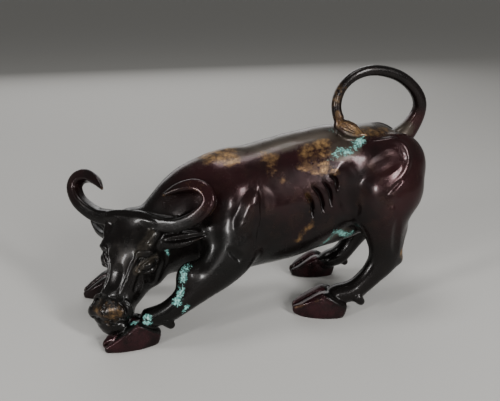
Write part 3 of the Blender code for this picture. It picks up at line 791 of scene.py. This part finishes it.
BROWN_BLACK = (0.009, 0.006, 0.006)
OXBLOOD = (0.025, 0.008, 0.009)
WARM_BROWN = (0.030, 0.014, 0.010)
BLACK_PATINA_AND_SHADE = (0.0052, 0.0053, 0.0048)
HOOF_BLACK = (0.009, 0.005, 0.005)
HOOF_RED = (0.030, 0.009, 0.011)
DRY_WAX_AND_SHEEN = (0.048, 0.040, 0.030)
WORN_EDGE = (0.090, 0.050, 0.026)
RUBBED_BROWN = (0.045, 0.022, 0.010)
RUBBED_GOLD = (0.215, 0.125, 0.050)
HOLLOW_BLACK = (0.002, 0.002, 0.002)
DEEP_VERDIGRIS = (0.030, 0.115, 0.110)
PALE_VERDIGRIS = (0.24, 0.52, 0.46)
patina = bpy.data.materials.new("waxed_patina")
patina.use_nodes = True
nodes, links = patina.node_tree.nodes, patina.node_tree.links
shader = nodes["Principled BSDF"]
coordinates = nodes.new("ShaderNodeTexCoord").outputs["Object"]


def painted(name):
    """What is painted on the casting under that name."""
    reader = nodes.new("ShaderNodeAttribute")
    reader.attribute_name = name
    return reader.outputs["Fac"]


def mottle(scale, detail=4, roughness=0.6):
    """Clouds of a patina, so many to the metre."""
    clouds = nodes.new("ShaderNodeTexNoise")
    clouds.inputs["Scale"].default_value = scale
    clouds.inputs["Detail"].default_value = detail
    clouds.inputs["Roughness"].default_value = roughness
    links.new(coordinates, clouds.inputs["Vector"])
    return clouds.outputs["Fac"]


def sums(operation, first, second):
    """Two values added, multiplied or the like."""
    maths = nodes.new("ShaderNodeMath")
    maths.operation = operation
    for socket, value in zip(maths.inputs, (first, second)):
        if isinstance(value, (int, float)):
            socket.default_value = value
        else:
            links.new(value, socket)
    return maths.outputs[0]


def ramp(value, start, end, low=0.0, high=1.0):
    """A value that goes from low to high as another goes from start to end."""
    stretch = nodes.new("ShaderNodeMapRange")
    stretch.interpolation_type = "SMOOTHSTEP"
    for name, amount in (("From Min", start), ("From Max", end), ("To Min", low), ("To Max", high)):
        stretch.inputs[name].default_value = amount
    links.new(value, stretch.inputs["Value"])
    return stretch.outputs["Result"]


def over(mask, below, above):
    """One colour laid over another through a mask."""
    layer = nodes.new("ShaderNodeMix")
    layer.data_type = "RGBA"
    links.new(mask, layer.inputs["Factor"])
    for socket, colour in ((layer.inputs["A"], below), (layer.inputs["B"], above)):
        if isinstance(colour, tuple):
            socket.default_value = (*colour, 1)
        else:
            links.new(colour, socket)
    return layer.outputs["Result"]


broad, cloudy, fine, pits = mottle(16), mottle(75, 6), mottle(420, 3), mottle(1300, 2)
broken = sums("ADD", sums("MULTIPLY", sums("SUBTRACT", cloudy, 0.5), 2.4), sums("SUBTRACT", fine, 0.5))
gold_mask = ramp(sums("ADD", painted("gold"), sums("MULTIPLY", broken, 1.1)), 0.25, 1.3)
gold_mask = sums("MULTIPLY", gold_mask, ramp(painted("gold"), 0.02, 0.3))
crumbs = sums("MULTIPLY", sums("SUBTRACT", mottle(900, 4, 0.75), 0.5), 2.6)
green_mask = ramp(sums("ADD", sums("ADD", painted("verdigris"), broken), crumbs), 0.66, 0.92)
green_mask = sums("MULTIPLY", green_mask, ramp(painted("verdigris"), 0.1, 0.45))
dry_wax_and_sheen_mask = ramp(sums("ADD", painted("dry_wax_and_sheen"), sums("MULTIPLY", broken, 0.6)), 0.1, 1.2)
colour = over(ramp(broad, 0.35, 0.65), BROWN_BLACK, OXBLOOD)
colour = over(ramp(cloudy, 0.45, 0.75, 0, 0.5), colour, WARM_BROWN)
# Black patina on the head and tail, and painted shade darkening the lower body.
colour = over(ramp(painted("black_patina_and_low_shade"), 0.0, 1.0, 0, 0.9), colour, BLACK_PATINA_AND_SHADE)
hooves = over(ramp(mottle(55, 6, 0.7), 0.35, 0.62), HOOF_BLACK, HOOF_RED)
colour = over(ramp(painted("hoof"), 0.3, 0.7, 0, 0.9), colour, hooves)
# Dry wax and painted sheen: paler on the top of the back, the brow and the lids.
colour = over(ramp(dry_wax_and_sheen_mask, 0, 1, 0, 0.8), colour, DRY_WAX_AND_SHEEN)
colour = over(ramp(painted("edge"), 0.35, 1.0, 0, 0.35), colour, WORN_EDGE)
rubbed = over(ramp(mottle(260, 5, 0.75), 0.38, 0.62), RUBBED_BROWN, RUBBED_GOLD)
colour = over(gold_mask, colour, rubbed)
colour = over(ramp(painted("hollow"), 0.2, 0.8, 0, 0.9), colour, HOLLOW_BLACK)
green = over(ramp(mottle(700, 3, 0.7), 0.38, 0.62), DEEP_VERDIGRIS, PALE_VERDIGRIS)
colour = over(green_mask, colour, green)
links.new(colour, shader.inputs["Base Color"])
rough = sums("ADD", ramp(cloudy, 0.3, 0.7, 0.17, 0.28), sums("MULTIPLY", dry_wax_and_sheen_mask, 0.16))
rough = sums("ADD", rough, sums("MULTIPLY", painted("black_patina_and_low_shade"), 0.05))
rough = sums("ADD", rough, sums("MULTIPLY", gold_mask, 0.12))
links.new(sums("ADD", rough, sums("MULTIPLY", green_mask, 0.5)), shader.inputs["Roughness"])
links.new(sums("SUBTRACT", 0.5, sums("MULTIPLY", green_mask, 0.5)), shader.inputs["Metallic"])
shader.inputs["Specular IOR Level"].default_value = 0.2
shader.inputs["Coat Weight"].default_value = 0.10
shader.inputs["Coat Roughness"].default_value = 0.10
bump = nodes.new("ShaderNodeBump")
bump.inputs["Strength"].default_value = 0.25
bump.inputs["Distance"].default_value = 0.0004
height = sums("SUBTRACT", sums("MULTIPLY", fine, 0.2), ramp(pits, 0.56, 0.72, 0, 0.35))
height = sums("ADD", height, sums("MULTIPLY", sums("MULTIPLY", green_mask, fine), 2.5))
links.new(height, bump.inputs["Height"])
links.new(bump.outputs["Normal"], shader.inputs["Normal"])
mesh.materials.append(patina)

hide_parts("bull")
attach(bull, "root")

# Floor
# A plain pale sweep that the bronze stands on for its picture.
FLOOR_HALF = 15.0
floor_mesh = bpy.data.meshes.new("floor")
sweep = bmesh.new()
bmesh.ops.create_grid(sweep, x_segments=1, y_segments=1, size=FLOOR_HALF)
sweep.to_mesh(floor_mesh)
sweep.free()
floor = bpy.data.objects.new("floor", floor_mesh)
bpy.context.scene.collection.objects.link(floor)
paper = bpy.data.materials.new("pale_paper")
paper.use_nodes = True
paper.node_tree.nodes["Principled BSDF"].inputs["Base Color"].default_value = (0.44, 0.43, 0.41, 1)
paper.node_tree.nodes["Principled BSDF"].inputs["Roughness"].default_value = 0.75
floor_mesh.materials.append(paper)

# Lights
# Soft studio light: a tall window to the right of the camera and another far to its left, a lamp beside it, a
# ceiling light and a broad pale wall behind the bull.
world = bpy.data.worlds.new("pale_room")
world.use_nodes = True
world.node_tree.nodes["Background"].inputs["Color"].default_value = (0.80, 0.80, 0.78, 1)
world.node_tree.nodes["Background"].inputs["Strength"].default_value = 0.25
bpy.context.scene.world = world
target = Vector((0, 0, 0.08))
for name, direction, distance, wide, tall, power in (
    ("window", (0.45, -0.78, 0.42), 1.1, 0.14, 0.42, 11),
    ("far_window", (-0.89, -0.41, 0.24), 1.2, 0.12, 0.34, 9),
    ("lamp", (-0.15, -0.93, 0.22), 1.3, 0.07, 0.16, 5),
    ("ceiling", (-0.05, 0.12, 1.0), 1.2, 0.42, 0.30, 5),
    ("wall", (-0.05, 0.93, 0.38), 1.4, 1.60, 0.70, 7),
):
    lamp = bpy.data.lights.new(name, "AREA")
    lamp.shape = "RECTANGLE"
    lamp.size = wide
    lamp.size_y = tall
    lamp.energy = power
    light = bpy.data.objects.new(name, lamp)
    light.location = target + Vector(direction).normalized() * distance
    light.rotation_mode = "QUATERNION"
    light.rotation_quaternion = Vector(direction).to_track_quat("Z", "Y")
    bpy.context.scene.collection.objects.link(light)

# Camera
# Where the photograph was taken from: to the bull's left and a little ahead, looking down on it.
CAMERA_AZIMUTH = math.radians(-13)
CAMERA_ELEVATION = math.radians(20)
CAMERA_DISTANCE = 450 * UNIT
SENSOR_WIDTH = 36
FOCAL_PIXELS = 585
PICTURE_PIXELS = 500
CAMERA_TARGET = (Vector((0, 26, 74)) - middle) * UNIT
back = Vector((
    math.sin(CAMERA_AZIMUTH) * math.cos(CAMERA_ELEVATION),
    -math.cos(CAMERA_AZIMUTH) * math.cos(CAMERA_ELEVATION),
    math.sin(CAMERA_ELEVATION),
))
lens = bpy.data.cameras.new("camera")
lens.sensor_width = SENSOR_WIDTH
lens.lens = SENSOR_WIDTH * FOCAL_PIXELS / PICTURE_PIXELS
lens.clip_start = 0.01
camera = bpy.data.objects.new("camera", lens)
camera.location = CAMERA_TARGET + back * CAMERA_DISTANCE
camera.rotation_mode = "QUATERNION"
camera.rotation_quaternion = back.to_track_quat("Z", "Y")
bpy.context.scene.collection.objects.link(camera)
bpy.context.scene.camera = camera
